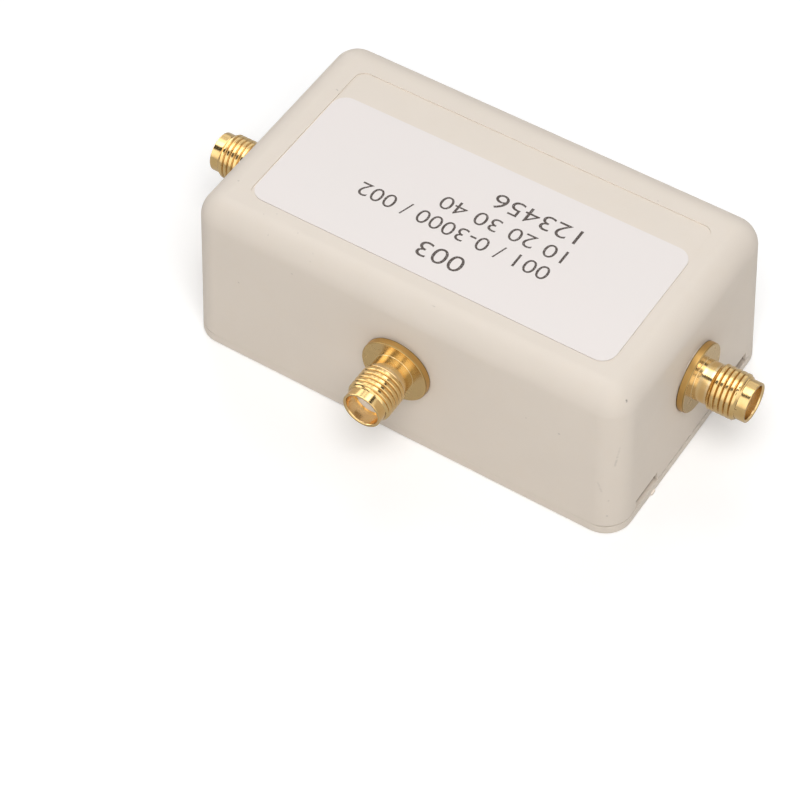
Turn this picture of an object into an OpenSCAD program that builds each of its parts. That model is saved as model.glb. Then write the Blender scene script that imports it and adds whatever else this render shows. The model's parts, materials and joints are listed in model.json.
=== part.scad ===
// Three-port bridge for measuring standing waves, in a small snap-together box.
// Sizes are in millimetres. X runs along the box, the test port looks towards -Y,
// Z is up, and the origin is the middle of the underside.

/* [Housing] */
// Length of the housing at its foot
body_l = 65; // [63:0.5:90]
// Width of the housing at its foot
body_w = 38.4; // [36:0.2:60]
// Height of the housing
body_h = 25; // [24:0.5:34]
// Lean of the moulded walls, in degrees
draft = 2.2; // [0.5:0.1:3]
// Radius of the upright corners at the foot
corner_r = 3.8; // [3:0.1:6]
// Radius of the rounded edge round the top
edge_r = 3.7; // [2.6:0.1:4.5]
// Small radius round the underside
foot_edge_r = 0.4; // [0.2:0.1:0.8]
// Thickness of the side walls
wall = 2; // [1.6:0.1:2.4]
// Thickness of the top
roof = 2.2; // [1.6:0.1:3]

/* [Label] */
// Length of the label
label_l = 52.6; // [40:0.2:54]
// Width of the label
label_w = 21.1; // [15:0.1:24]
// Corner radius of the label
label_r = 2.1; // [0.5:0.1:4]
// Thickness of the label
label_t = 0.12; // [0.08:0.01:0.25]
// Gap between each end of the label and the shallow recess that takes it
recess_gap = 0.15; // [0.05:0.05:0.6]
// Width of the recess
recess_w = 26.2; // [24.5:0.1:27.5]
// Corner radius of the recess
recess_r = 1.5; // [1:0.1:3]
// Depth of the recess
recess_depth = 0.16; // [0.14:0.01:0.5]
// Distance of the recess from the middle, along the box
recess_x = 0.3; // [-0.5:0.1:0.5]
// Distance of the recess from the middle, across the box
recess_y = -0.24; // [-0.8:0.02:0.8]
// Gap between the label and the recess edge nearest the test port
label_gap = 0.14; // [0.06:0.02:0.6]

/* [Base plate] */
// Thickness of the base plate, where the seam runs
base_h = 1.5; // [1.4:0.1:2.6]
// Height of the locating rim above the underside
rim_top = 5.2; // [4.6:0.1:6]
// Thickness of the locating rim
rim_t = 1.3; // [1:0.1:2]
// Gap between the rim and the inside of the housing
rim_gap = 0.15; // [0.1:0.05:0.3]
// Height of the open seam at the two ends
seam_h = 0.2; // [0.1:0.02:0.4]
// Height of the seam along the two long sides
seam_side_h = 0.03; // [0.03:0.01:0.1]
// Depth of the open seam
seam_depth = 0.6; // [0.3:0.1:1]
// Width of the key that bridges the seam in the middle of each end
seam_key_w = 0.5; // [0.3:0.1:1]

/* [Snap latches] */
// Width of each latch window
latch_w = 5.4; // [4:0.2:7]
// Height of the window above the seam
latch_h = 1.8; // [1.2:0.1:2.2]
// Distance of the latches from the middle of an end wall
latch_y = 11.6; // [10:0.1:12]
// Gap between a latch tongue and its window
latch_gap = 0.2; // [0.1:0.05:0.35]
// How far the foot of a tongue lies back from the outside of the wall
latch_sunk = 0.45; // [0.2:0.05:0.8]
// How much further back the top of a tongue lies
latch_lean = 0.25; // [0:0.05:0.5]
// Radius of the catch bead on each tongue
catch_r = 0.55; // [0.45:0.05:0.65]
// How far the catch bead stands out of the rim
catch_out = 0.45; // [0.35:0.05:0.5]
// Height of the catch bead above the top of the window
catch_up = 0.9; // [0.8:0.05:1.1]

/* [Coaxial jack] */
// Height of the jack axis above the underside
jack_z = 13.1; // [12.4:0.1:13.6]
// Diameter of the round flange
flange_d = 9.6; // [8.6:0.1:10.4]
// Thickness of the flange
flange_t = 1; // [0.6:0.1:1.6]
// Diameter of the plain neck behind the thread
neck_d = 5.6; // [5.2:0.1:5.9]
// Length of the neck
neck_l = 2; // [1.5:0.1:4]
// Outer diameter of the coupling thread
thread_d = 6.25; // [6.1:0.01:6.35]
// Length of the coupling thread
thread_l = 4; // [2.5:0.1:6]
// Diameter of the plain rim round the mouth
rim_d = 5.44; // [5.2:0.02:5.6]
// Length of the plain rim
rim_l = 1.4; // [1:0.1:2.5]
// Diameter of the mouth
mouth_d = 4.64; // [4.6:0.01:4.7]
// Depth of the mouth, down to the insulator
mouth_depth = 2; // [1.8:0.05:2.1]
// Diameter of the insulator
insulator_d = 4.1; // [3.8:0.05:4.2]
// Outer diameter of the centre contact
contact_d = 1.27; // [1.2:0.01:1.4]
// Bore of the centre contact
contact_bore = 0.94; // [0.88:0.01:0.98]
// Depth of that bore
contact_depth = 2.8; // [2.4:0.1:3.4]
// Width of the four slots in the contact
slot_w = 0.14; // [0.1:0.01:0.18]
// Length of the slots
slot_l = 2.2; // [1.2:0.1:2.6]

/* [Jack mounting] */
// Diameter of the threaded barrel that goes through the wall
barrel_d = 6.35; // [6:0.05:6.8]
// Thickness of the wall between the two flat seats of a jack
panel_t = 2.3; // [2.1:0.1:2.8]
// Thickness of the ground tag
tag_t = 0.4; // [0.3:0.05:0.6]
// Outer diameter of the ground tag's ring
tag_d = 9.2; // [8.8:0.1:10]
// Width of the ground tag's tail
tail_w = 2.6; // [1.8:0.1:3.4]
// Thickness of the toothed washer
washer_t = 0.5; // [0.4:0.05:0.8]
// Outer diameter of the toothed washer
washer_d = 9; // [8.6:0.1:10]
// Number of teeth of the washer
teeth = 10; // [8:1:14]
// Distance across the flats of the nut
nut_af = 8; // [7.8:0.1:9]
// Thickness of the nut
nut_t = 2.2; // [1.6:0.1:2.6]
// Barrel that shows behind the nut
barrel_spare = 1.2; // [0.8:0.1:2]
// Insulator that stands out of the barrel
tail_l = 0.6; // [0.4:0.1:1]
// Length of the solder pin behind the insulator
pin_l = 3; // [2.6:0.1:3.6]

/* [Circuit board] */
// Thickness of the board
board_t = 1.6; // [1:0.1:2]
// Gap between the board's edge and the end of a jack barrel
board_gap = 1; // [0.7:0.1:1.4]
// Corner radius of the board
board_r = 0.8; // [0.3:0.1:2]
// Diameter of the screw bosses
boss_d = 4.6; // [4.2:0.1:5.2]
// Distance of a boss from the two nearest board edges
boss_in = 3; // [2.7:0.1:4]
// Diameter of the board screws
screw_d = 2; // [1.8:0.1:2.3]
// Length of the board screws under the head
screw_l = 6; // [5:0.5:8]
// Diameter of the screw heads
head_d = 3.8; // [3.4:0.1:4.2]
// Height of the screw heads
head_h = 1.3; // [1:0.1:1.6]
// Diameter of the balun's coaxial lead
lead_d = 2; // [1.4:0.1:2.4]
// Outer diameter of the ferrite sleeves
sleeve_d = 5; // [4:0.1:6]
// Length of a ferrite sleeve
sleeve_l = 4.5; // [3.5:0.1:5]
// Distance of the balun from the middle of the board
balun_y = 3.6; // [3:0.1:4]
// Length of a chip resistor
chip_l = 3.2; // [2:0.1:3.2]
// Width of a chip resistor
chip_w = 1.6; // [1.2:0.1:1.8]
// Height of a chip resistor
chip_h = 0.6; // [0.4:0.05:0.8]

/* [Hidden] */
$fn = 96;

// Radial gap between parts that are pressed or soldered together
fit_gap = 0.02;
// Radial gap of a bolt or thread in its hole
bolt_gap = 0.06;
// Cuts run this far past the face that they open
past = 1;
// Small chamfers on turned parts
nip = 0.12;
// Small gap between round parts and the board that they lie on
lie_gap = 0.05;

OFF_WHITE = [0.89, 0.86, 0.81];
LABEL_WHITE = [0.94, 0.92, 0.90];
GOLD = [0.86, 0.67, 0.30];
PTFE = [0.93, 0.91, 0.89];
TINNED = [0.75, 0.75, 0.74];
STEEL = [0.68, 0.69, 0.70];
BOARD_GREEN = [0.10, 0.42, 0.25];
LEAD_BLACK = [0.12, 0.12, 0.12];
FERRITE = [0.22, 0.22, 0.23];
CHIP_BLACK = [0.16, 0.16, 0.17];

// Faces of the hull that rounds the outside and the inside of the housing
OUTER_FN = 64;
INNER_FN = 32;

seat_x = outer_x(jack_z);
seat_y = outer_y(jack_z);
ceiling_z = body_h - roof;
floor_z = body_h - recess_depth;
recess_l = label_l + 2 * recess_gap;
label_x = recess_x;
label_y = recess_y - recess_w / 2 + label_gap + label_w / 2;

thread_s0 = flange_t + neck_l;
thread_s1 = thread_s0 + thread_l;
jack_l = thread_s1 + rim_l;
face_s = jack_l - mouth_depth;
washer_s = -panel_t - tag_t - washer_t;
nut_s = washer_s - nut_t;
barrel_s = nut_s - barrel_spare;
insulator_s = barrel_s - tail_l;
pin_s = insulator_s - pin_l;
// The outer seat is a little smaller than the flange where it stands proud,
// and its pocket is a little larger where the leaning wall is cut back
seat_d = flange_d - 0.5;
pocket_d = flange_d + 0.3;
inner_seat_d = max(tag_d, washer_d) + 2;
collar_d = contact_d + 0.5;
collar_l = 0.9;
collar_s = face_s / 2;
nut_corner_d = nut_af / cos(30);

board_top = jack_z - contact_d / 2 - lie_gap;
board_z = board_top - board_t;
board_l = 2 * (seat_x + barrel_s - board_gap);
board_w = 2 * (seat_y + barrel_s - board_gap);
boss_x = board_l / 2 - boss_in;
boss_y = board_w / 2 - boss_in;
// The tag's tail passes below the nut and meets the board inside its edge
tag_in = 2;
tag_clear = 0.5;
tag_reach = board_gap - barrel_s + tag_in;
tag_drop = max(tag_d, nut_corner_d) / 2 + tag_clear + tag_t;

// The lead starts beside a screw boss, and the chips stand past its other end
sleeve_gap = 0.3;
sleeve_count = 3;
solder_r = lead_d / 2 + 0.7;
solder_h = 0.7;
lead_up = sleeve_d / 2 + lie_gap;
lead_run = sleeve_count * sleeve_l + (sleeve_count + 1) * sleeve_gap;
lead_x0 = -boss_x + boss_d / 2 + sleeve_gap + solder_r + lead_up;
lead_x1 = lead_x0 + lead_run;
chip_gap = 1.4;
chip_row = chip_w + chip_gap;
chip_x0 = lead_x1 + lead_up + solder_r + chip_gap + chip_l / 2;
chip_x1 = chip_x0 + chip_l + chip_gap;

rim_x = inner_x(rim_top) - rim_gap;
rim_y = inner_y(rim_top) - rim_gap;
catch_z = base_h + latch_h + catch_up;

function outer_x(z) = body_l / 2 - z * tan(draft);
function outer_y(z) = body_w / 2 - z * tan(draft);
function inner_x(z) = outer_x(z) - wall;
function inner_y(z) = outer_y(z) - wall;

// Flat shapes and blocks

module rounded_rect(l, w, r) {
    square([l - 2 * r, w], center = true);
    square([l, w - 2 * r], center = true);
    for (sx = [-1, 1], sy = [-1, 1])
        translate([sx * (l / 2 - r), sy * (w / 2 - r)])
            circle(r = r);
}

// Half of a disc, turned about the Z axis into a ball with its poles in place
module ball(r) {
    rotate_extrude()
        intersection() {
            circle(r = r);
            translate([0, -r])
                square([r, 2 * r]);
        }
}

// Disc with a rounded lower edge
module foot_disc(r, lower_r) {
    rotate_extrude() {
        square([r - lower_r, lower_r]);
        translate([r - lower_r, lower_r])
            circle(r = lower_r);
    }
}

// Block with leaning walls, round corners and a rounded top
module drafted_block(l, w, h, foot_r, lower_r, top_r) {
    top_in = (h - top_r) * tan(draft) + top_r / cos(draft);
    hull()
        for (sx = [-1, 1], sy = [-1, 1]) {
            translate([sx * (l / 2 - top_in), sy * (w / 2 - top_in), h - top_r])
                ball(top_r);
            translate([sx * (l / 2 - foot_r), sy * (w / 2 - foot_r), 0])
                foot_disc(foot_r, lower_r);
        }
}

module housing_block() {
    drafted_block(body_l, body_w, body_h, corner_r, foot_edge_r, edge_r, $fn = OUTER_FN);
}

module housing_hollow() {
    inner_r = max(corner_r - wall, 1);
    top_r = max(edge_r - roof, 0.6);
    drafted_block(body_l - 2 * wall, body_w - 2 * wall, ceiling_z, inner_r, 0.1, top_r, $fn = INNER_FN);
}

// Slab across the whole plan between two heights
module slab(z0, z1) {
    translate([-body_l, -body_w, z0])
        cube([2 * body_l, 2 * body_w, z1 - z0]);
}

// Places

// A jack stands on its flat seat: here Z points out of the box and Y is up
module at_jack(turn, reach) {
    rotate([0, 0, turn])
        translate([0, -reach, jack_z])
            rotate([90, 0, 0])
                children();
}

module at_input() {
    at_jack(90, seat_x)
        children();
}

module at_output() {
    at_jack(-90, seat_x)
        children();
}

module at_test() {
    at_jack(0, seat_y)
        children();
}

module at_every_jack() {
    at_input()
        children();
    at_output()
        children();
    at_test()
        children();
}

// Four bosses: here Y points to the nearest long wall
module at_bosses() {
    for (turn = [0, 180], sx = [-1, 1])
        rotate([0, 0, turn])
            translate([sx * boss_x, boss_y, 0])
                children();
}

// Four latches: here X points out of the end wall
module at_latches() {
    for (turn = [0, 180], sy = [-1, 1])
        rotate([0, 0, turn])
            translate([0, sy * latch_y, 0])
                children();
}

// Housing

// Seam that is open at the ends and closes along the long sides
module seam_groove() {
    closing_l = 2;
    open_x = body_l / 2 - corner_r / 2;
    shut_x = open_x - closing_l;
    end_z = base_h + seam_h;
    side_z = base_h + seam_side_h;
    difference() {
        rotate([90, 0, 0])
            linear_extrude(2 * body_w, center = true)
                polygon([
                    [-body_l, base_h - past], [body_l, base_h - past],
                    [body_l, end_z], [open_x, end_z], [shut_x, side_z],
                    [-shut_x, side_z], [-open_x, end_z], [-body_l, end_z]
                ]);
        translate([0, 0, base_h - 2 * past])
            linear_extrude(4 * past)
                rounded_rect(
                    2 * (outer_x(base_h) - seam_depth),
                    2 * (outer_y(base_h) - seam_depth),
                    corner_r - seam_depth
                );
        translate([0, 0, base_h])
            cube([2 * body_l, seam_key_w, 4 * past], center = true);
    }
}

module latch_window() {
    translate([inner_x(0) - past, -latch_w / 2, base_h - past])
        cube([wall + 2 * past, latch_w, latch_h + past]);
}

// Tongue with a leaning face that fills a latch window, and the catch bead above it
module latch_tongue() {
    tongue_w = latch_w - 2 * latch_gap;
    tongue_z = base_h + latch_h - latch_gap;
    face_x = outer_x(base_h) - latch_sunk;
    rotate([90, 0, 0])
        linear_extrude(tongue_w, center = true)
            polygon([
                [rim_x - rim_t, base_h], [face_x, base_h],
                [face_x - latch_lean, tongue_z], [rim_x - rim_t, tongue_z]
            ]);
    catch_bead(catch_r, tongue_w);
}

module catch_bead(r, l) {
    translate([rim_x + catch_out - catch_r, 0, catch_z])
        rotate([90, 0, 0])
            cylinder(r = r, h = l, center = true);
}

// Screw boss that hangs from the roof, with a rib to the nearest long wall
module hanging_boss() {
    rib_t = 1.2;
    rib_h = 4;
    translate([0, 0, board_top])
        cylinder(d = boss_d, h = body_h - board_top);
    translate([-rib_t / 2, 0, ceiling_z - rib_h])
        cube([rib_t, body_w / 2 - boss_y, body_h]);
}

// What hangs inside the housing, before it is trimmed to the outside
module shell_inside() {
    difference() {
        slab(0, body_h);
        housing_hollow();
    }
    at_every_jack()
        translate([0, 0, -panel_t])
            cylinder(d = inner_seat_d, h = panel_t + wall);
    at_bosses()
        hanging_boss();
}

module top_shell() {
    tap_spare = 0.6;
    color(OFF_WHITE)
        difference() {
            union() {
                intersection() {
                    housing_block();
                    shell_inside();
                }
                at_every_jack()
                    translate([0, 0, -panel_t])
                        cylinder(d = seat_d, h = panel_t);
            }
            slab(-past, base_h);
            seam_groove();
            at_latches() {
                latch_window();
                catch_bead(catch_r + rim_gap / 2, latch_w);
            }
            translate([recess_x, recess_y, floor_z])
                linear_extrude(recess_depth + past)
                    rounded_rect(recess_l, recess_w, recess_r);
            at_every_jack() {
                cylinder(d = pocket_d, h = past);
                translate([0, 0, -panel_t - past])
                    cylinder(d = barrel_d + 2 * bolt_gap, h = panel_t + 2 * past);
            }
            at_bosses()
                translate([0, 0, board_top - past])
                    cylinder(d = screw_d + 2 * bolt_gap, h = past + screw_l - board_t + tap_spare);
        }
}

// Pip left where the plate was cut from its moulding gate
module gate_pip() {
    pip_y = -10;
    pip_w = 0.8;
    pip_h = 0.35;
    pip_out = 0.16;
    root = 0.5;
    translate([outer_x(0) - root, pip_y - pip_w / 2, foot_edge_r / 2])
        cube([root + pip_out, pip_w, pip_h]);
}

module base_plate() {
    rim_r = max(corner_r - wall - rim_gap, 0.8);
    color(OFF_WHITE) {
        intersection() {
            housing_block();
            slab(-past, base_h);
        }
        translate([0, 0, base_h / 2])
            linear_extrude(rim_top - base_h / 2)
                difference() {
                    rounded_rect(2 * rim_x, 2 * rim_y, rim_r);
                    rounded_rect(2 * (rim_x - rim_t), 2 * (rim_y - rim_t), rim_r / 2);
                }
        at_latches()
            latch_tongue();
        gate_pip();
    }
}

module label() {
    color(LABEL_WHITE)
        translate([label_x, label_y, floor_z])
            linear_extrude(label_t)
                rounded_rect(label_l, label_w, label_r);
}

// Jack

// Turned shell: flange against the wall, neck, thread, rim and stepped bore
module jack_body() {
    barrel_r = barrel_d / 2;
    flange_r = flange_d / 2;
    neck_r = neck_d / 2;
    thread_r = thread_d / 2;
    rim_r = rim_d / 2;
    mouth_r = mouth_d / 2;
    bore_r = insulator_d / 2 + fit_gap;
    color(GOLD)
        rotate_extrude()
            polygon([
                [bore_r, barrel_s], [barrel_r - 2 * nip, barrel_s], [barrel_r, barrel_s + 2 * nip],
                [barrel_r, 0], [flange_r - nip / 2, 0], [flange_r, nip / 2],
                [flange_r, flange_t - nip], [flange_r - nip, flange_t],
                [neck_r, flange_t], [neck_r, thread_s0 - nip], [thread_r, thread_s0 + nip],
                [thread_r, thread_s1 - nip], [rim_r, thread_s1 + 2 * nip],
                [rim_r, jack_l - nip / 2], [rim_r - nip / 2, jack_l],
                [mouth_r + nip, jack_l], [mouth_r, jack_l - nip],
                [mouth_r, face_s], [bore_r, face_s]
            ]);
}

// Plastic bead that carries the centre contact, with a groove for its collar
module jack_insulator() {
    hole_r = contact_d / 2 + fit_gap;
    groove_r = collar_d / 2 + fit_gap;
    color(PTFE)
        rotate_extrude()
            polygon([
                [hole_r, insulator_s], [insulator_d / 2 - nip, insulator_s],
                [insulator_d / 2, insulator_s + nip], [insulator_d / 2, face_s],
                [hole_r, face_s],
                [hole_r, collar_s + collar_l / 2 + fit_gap], [groove_r, collar_s + collar_l / 2 + fit_gap],
                [groove_r, collar_s - collar_l / 2 - fit_gap], [hole_r, collar_s - collar_l / 2 - fit_gap]
            ]);
}

// Socket contact: four sprung fingers in front, a collar and a solder pin behind
module jack_contact() {
    contact_r = contact_d / 2;
    socket_r = contact_bore / 2;
    color(GOLD)
        difference() {
            rotate_extrude()
                polygon([
                    [0, pin_s], [contact_r - nip, pin_s], [contact_r, pin_s + nip],
                    [contact_r, collar_s - collar_l / 2], [collar_d / 2, collar_s - collar_l / 2],
                    [collar_d / 2, collar_s + collar_l / 2], [contact_r, collar_s + collar_l / 2],
                    [contact_r, face_s - nip / 2], [contact_r - nip / 2, face_s],
                    [socket_r + nip / 2, face_s], [socket_r, face_s - nip],
                    [socket_r, face_s - contact_depth], [0, face_s - contact_depth - socket_r]
                ]);
            for (turn = [0, 90])
                rotate([0, 0, turn])
                    translate([-contact_d, -slot_w / 2, face_s - slot_l])
                        cube([2 * contact_d, slot_w, slot_l + past]);
        }
}

// Tag under the nut, with a tail bent to the underside of the board
module ground_tag() {
    tail_y = board_z - jack_z;
    ring_w = 0.8;
    color(TINNED)
        difference() {
            union() {
                translate([0, 0, -panel_t - tag_t])
                    cylinder(d = tag_d, h = tag_t);
                translate([-tail_w / 2, -tag_drop, -panel_t - tag_t])
                    cube([tail_w, tag_drop - tag_d / 2 + ring_w, tag_t]);
                translate([-tail_w / 2, -tag_drop, -tag_reach])
                    cube([tail_w, tag_t, tag_reach - panel_t]);
                translate([-tail_w / 2, -tag_drop, -tag_reach])
                    cube([tail_w, tag_drop + tail_y, tag_t]);
            }
            translate([0, 0, -panel_t - tag_t - past])
                cylinder(d = barrel_d + 2 * bolt_gap, h = tag_t + 2 * past);
        }
}

// Washer with teeth round its bore
module lock_washer() {
    notch_d = PI * barrel_d / teeth / 2;
    notch_in = 0.2;
    color(STEEL)
        translate([0, 0, washer_s])
            linear_extrude(washer_t)
                difference() {
                    circle(d = washer_d);
                    circle(d = barrel_d + 2 * bolt_gap);
                    for (k = [0 : teeth - 1])
                        rotate(k * 360 / teeth)
                            translate([barrel_d / 2 + notch_in, 0])
                                circle(d = notch_d);
                }
}

// Hexagon with both faces turned off at the corners
module jack_nut() {
    corner_r = nut_corner_d / 2;
    flat_r = nut_af / 2;
    turn_off = (corner_r - flat_r) * tan(30);
    color(GOLD)
        translate([0, 0, nut_s])
            difference() {
                intersection() {
                    rotate([0, 0, 30])
                        cylinder(r = corner_r, h = nut_t, $fn = 6);
                    rotate_extrude()
                        polygon([
                            [0, 0], [flat_r, 0], [corner_r + turn_off, turn_off * 2],
                            [corner_r + turn_off, nut_t - turn_off * 2], [flat_r, nut_t], [0, nut_t]
                        ]);
                }
                translate([0, 0, -past])
                    cylinder(d = barrel_d + 2 * bolt_gap, h = nut_t + 2 * past);
            }
}

module input_jack_body() { at_input() jack_body(); }
module input_jack_insulator() { at_input() jack_insulator(); }
module input_jack_contact() { at_input() jack_contact(); }
module input_ground_tag() { at_input() ground_tag(); }
module input_lock_washer() { at_input() lock_washer(); }
module input_jack_nut() { at_input() jack_nut(); }

module output_jack_body() { at_output() jack_body(); }
module output_jack_insulator() { at_output() jack_insulator(); }
module output_jack_contact() { at_output() jack_contact(); }
module output_ground_tag() { at_output() ground_tag(); }
module output_lock_washer() { at_output() lock_washer(); }
module output_jack_nut() { at_output() jack_nut(); }

module test_jack_body() { at_test() jack_body(); }
module test_jack_insulator() { at_test() jack_insulator(); }
module test_jack_contact() { at_test() jack_contact(); }
module test_ground_tag() { at_test() ground_tag(); }
module test_lock_washer() { at_test() lock_washer(); }
module test_jack_nut() { at_test() jack_nut(); }

// Circuit board and what stands on it

module circuit_board() {
    color(BOARD_GREEN)
        difference() {
            translate([0, 0, board_z])
                linear_extrude(board_t)
                    rounded_rect(board_l, board_w, board_r);
            at_bosses()
                translate([0, 0, board_z - past])
                    cylinder(d = screw_d + 2 * bolt_gap, h = board_t + 2 * past);
        }
}

// Pan head below the board, with a cross recess, and a shank up into the boss
module board_screws() {
    head_r = head_d / 2;
    shank_r = screw_d / 2;
    blunt = 0.2;
    cross_l = head_d * 0.58;
    cross_w = 0.5;
    cross_depth = head_h * 0.55;
    color(STEEL)
        at_bosses()
            translate([0, 0, board_z])
                difference() {
                    rotate_extrude()
                        polygon([
                            [0, -head_h], [head_r * 0.72, -head_h], [head_r * 0.92, -head_h * 0.84],
                            [head_r, -head_h * 0.5], [head_r, 0], [shank_r, 0],
                            [shank_r, screw_l - shank_r], [blunt, screw_l], [0, screw_l]
                        ]);
                    for (turn = [0, 90])
                        rotate([0, 0, turn])
                            translate([-cross_l / 2, -cross_w / 2, -head_h - past])
                                cube([cross_l, cross_w, cross_depth + past]);
                }
}

// Lead of the balun: a straight run through the sleeves, bent down to the board at both ends
module lead_path(d) {
    translate([lead_x0, balun_y, board_top]) {
        translate([0, 0, lead_up])
            rotate([0, 90, 0])
                cylinder(d = d, h = lead_run);
        translate([lead_run, 0, 0])
            lead_bend(d);
        mirror([1, 0, 0])
            lead_bend(d);
    }
}

// Quarter of a ring
module lead_bend(d) {
    intersection() {
        rotate([90, 0, 0])
            rotate_extrude()
                translate([lead_up, 0])
                    circle(d = d);
        translate([0, -d, 0])
            cube([lead_up + d, 2 * d, lead_up + d]);
    }
}

module balun_lead() {
    color(LEAD_BLACK)
        lead_path(lead_d);
}

module ferrite_sleeve(k) {
    bore_r = lead_d / 2 + 0.1;
    sleeve_r = sleeve_d / 2;
    chamfer = 0.2;
    color(FERRITE)
        translate([lead_x0 + sleeve_gap + k * (sleeve_l + sleeve_gap), balun_y, board_top + lead_up])
            rotate([0, 90, 0])
                rotate_extrude()
                    polygon([
                        [bore_r, 0], [sleeve_r - chamfer, 0], [sleeve_r, chamfer],
                        [sleeve_r, sleeve_l - chamfer], [sleeve_r - chamfer, sleeve_l],
                        [bore_r, sleeve_l]
                    ]);
}

module ferrite_sleeve_1() { ferrite_sleeve(0); }
module ferrite_sleeve_2() { ferrite_sleeve(1); }
module ferrite_sleeve_3() { ferrite_sleeve(2); }

// Chip resistor: a ceramic block with a wrapped terminal at each end
module chip(x, row) {
    cap = chip_l / 6;
    skin = 0.04;
    color(CHIP_BLACK)
        translate([x, row * chip_row, board_top]) {
            translate([-chip_l / 2 + skin, -chip_w / 2 + skin, skin])
                cube([chip_l - 2 * skin, chip_w - 2 * skin, chip_h - 2 * skin]);
            for (side = [0, 180])
                rotate([0, 0, side])
                    translate([chip_l / 2 - cap, -chip_w / 2, 0])
                        cube([cap, chip_w, chip_h]);
        }
}

module bridge_resistor_1() { chip(chip_x0, -2); }
module bridge_resistor_2() { chip(chip_x0, -1); }
module reference_resistor_1() { chip(chip_x1, 0); }
module reference_resistor_2() { chip(chip_x1, 1); }

module solder_mound(foot_r, top_r, h) {
    cylinder(r1 = foot_r, r2 = top_r, h = h);
}

module pin_joint() {
    foot_r = contact_d;
    cover = 0.25;
    pin_mid = (pin_s + barrel_s - board_gap) / 2;
    difference() {
        translate([0, board_top - jack_z, pin_mid])
            rotate([-90, 0, 0])
                solder_mound(foot_r, foot_r * 0.7, contact_d + cover);
        translate([0, 0, pin_s - past])
            cylinder(d = contact_d + 2 * fit_gap, h = pin_l + past);
    }
}

module tag_joint() {
    foot_r = tail_w / 2 + 0.7;
    top_r = tail_w / 2 + 0.3;
    difference() {
        translate([0, board_z - jack_z, -tag_reach + tag_t / 2])
            rotate([90, 0, 0])
                solder_mound(foot_r, top_r, solder_h);
        translate([-tail_w / 2 - fit_gap, -tag_drop, -tag_reach - fit_gap])
            cube([tail_w + 2 * fit_gap, tag_drop, tag_t + 2 * fit_gap]);
    }
}

module lead_joints() {
    difference() {
        for (x = [lead_x0 - lead_up, lead_x1 + lead_up])
            translate([x, balun_y, board_top])
                solder_mound(solder_r, solder_r * 0.8, solder_h);
        lead_path(lead_d + 2 * fit_gap);
    }
}

// Solder round the three pins, the three tag tails and the two ends of the lead
module solder_joints() {
    color(TINNED) {
        at_every_jack() {
            pin_joint();
            tag_joint();
        }
        lead_joints();
    }
}

top_shell();
base_plate();
label();
input_jack_body();
input_jack_insulator();
input_jack_contact();
input_ground_tag();
input_lock_washer();
input_jack_nut();
output_jack_body();
output_jack_insulator();
output_jack_contact();
output_ground_tag();
output_lock_washer();
output_jack_nut();
test_jack_body();
test_jack_insulator();
test_jack_contact();
test_ground_tag();
test_lock_washer();
test_jack_nut();
circuit_board();
board_screws();
solder_joints();
balun_lead();
ferrite_sleeve_1();
ferrite_sleeve_2();
ferrite_sleeve_3();
bridge_resistor_1();
bridge_resistor_2();
reference_resistor_1();
reference_resistor_2();
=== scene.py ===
import json
from math import cos, hypot, pi, radians, sin, tan

import bmesh
import bpy
from bpy.props import (
    FloatProperty,
    FloatVectorProperty,
    IntProperty,
    PointerProperty,
    StringProperty,
)
from mathutils import Matrix, Vector
from mathutils.bvhtree import BVHTree


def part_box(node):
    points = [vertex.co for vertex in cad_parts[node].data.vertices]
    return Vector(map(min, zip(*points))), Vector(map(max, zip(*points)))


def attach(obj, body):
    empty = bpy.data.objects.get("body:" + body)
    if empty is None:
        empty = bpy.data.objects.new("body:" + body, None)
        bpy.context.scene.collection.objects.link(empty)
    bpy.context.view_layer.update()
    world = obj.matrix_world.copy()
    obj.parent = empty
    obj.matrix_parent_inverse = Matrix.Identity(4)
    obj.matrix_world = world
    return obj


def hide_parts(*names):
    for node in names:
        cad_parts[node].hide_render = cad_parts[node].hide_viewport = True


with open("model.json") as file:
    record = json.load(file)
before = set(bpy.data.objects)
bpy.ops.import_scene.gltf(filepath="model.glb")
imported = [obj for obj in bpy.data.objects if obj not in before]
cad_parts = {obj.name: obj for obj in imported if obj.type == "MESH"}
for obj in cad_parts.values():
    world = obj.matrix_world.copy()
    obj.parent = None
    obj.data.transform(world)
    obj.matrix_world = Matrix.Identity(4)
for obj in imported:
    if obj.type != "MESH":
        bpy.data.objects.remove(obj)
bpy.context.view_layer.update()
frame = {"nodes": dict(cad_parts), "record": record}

bl_info = {
    "name": "Bridge box",
    "version": (1, 0, 0),
    "blender": (4, 5, 0),
    "location": "3D View > Sidebar > Bridge",
    "description": "Skins, jacks, print and studio for a boxed standing wave ratio bridge",
    "category": "Object",
}

MM = 0.001
UP = Vector((0, 0, 1))

# Points closer than this count as one
TOUCHING = 0.001 * MM

# Edges that turn by more than this stay sharp, on the moulded and on the turned pieces
MOULDED_SHARP = radians(28)
TURNED_SHARP = radians(40)

# Faces that turn by less than this are joined into one flat
FLAT = radians(0.3)

# From a rounding to the guard ring behind it
GUARD = 0.03 * MM

# Width of the rounding along the thread's crests
CREST_EDGE = 0.05 * MM

# Half of the angle between a thread's flanks
FLANK = radians(30)

# Height of the print on the label
PRINT_THICK = 0.012 * MM

# Which way each jack points out of the box
JACKS = {"input": Vector((1, 0, 0)), "output": Vector((-1, 0, 0)), "test": Vector((0, -1, 0))}

# How far each thread is turned round its jack, in degrees
THREAD_TURNS = {"input": 15, "output": 138, "test": -60}

# The record's mounts give the sizes that a plug needs
MOUNTS = {mount["name"]: mount for mount in frame["record"]["mounts"]}
THREAD_RADIUS = MOUNTS["input_thread"]["dims"]["r_mm"] * MM
MOUTH_RADIUS = MOUNTS["input_mouth"]["dims"]["r_mm"] * MM

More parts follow.
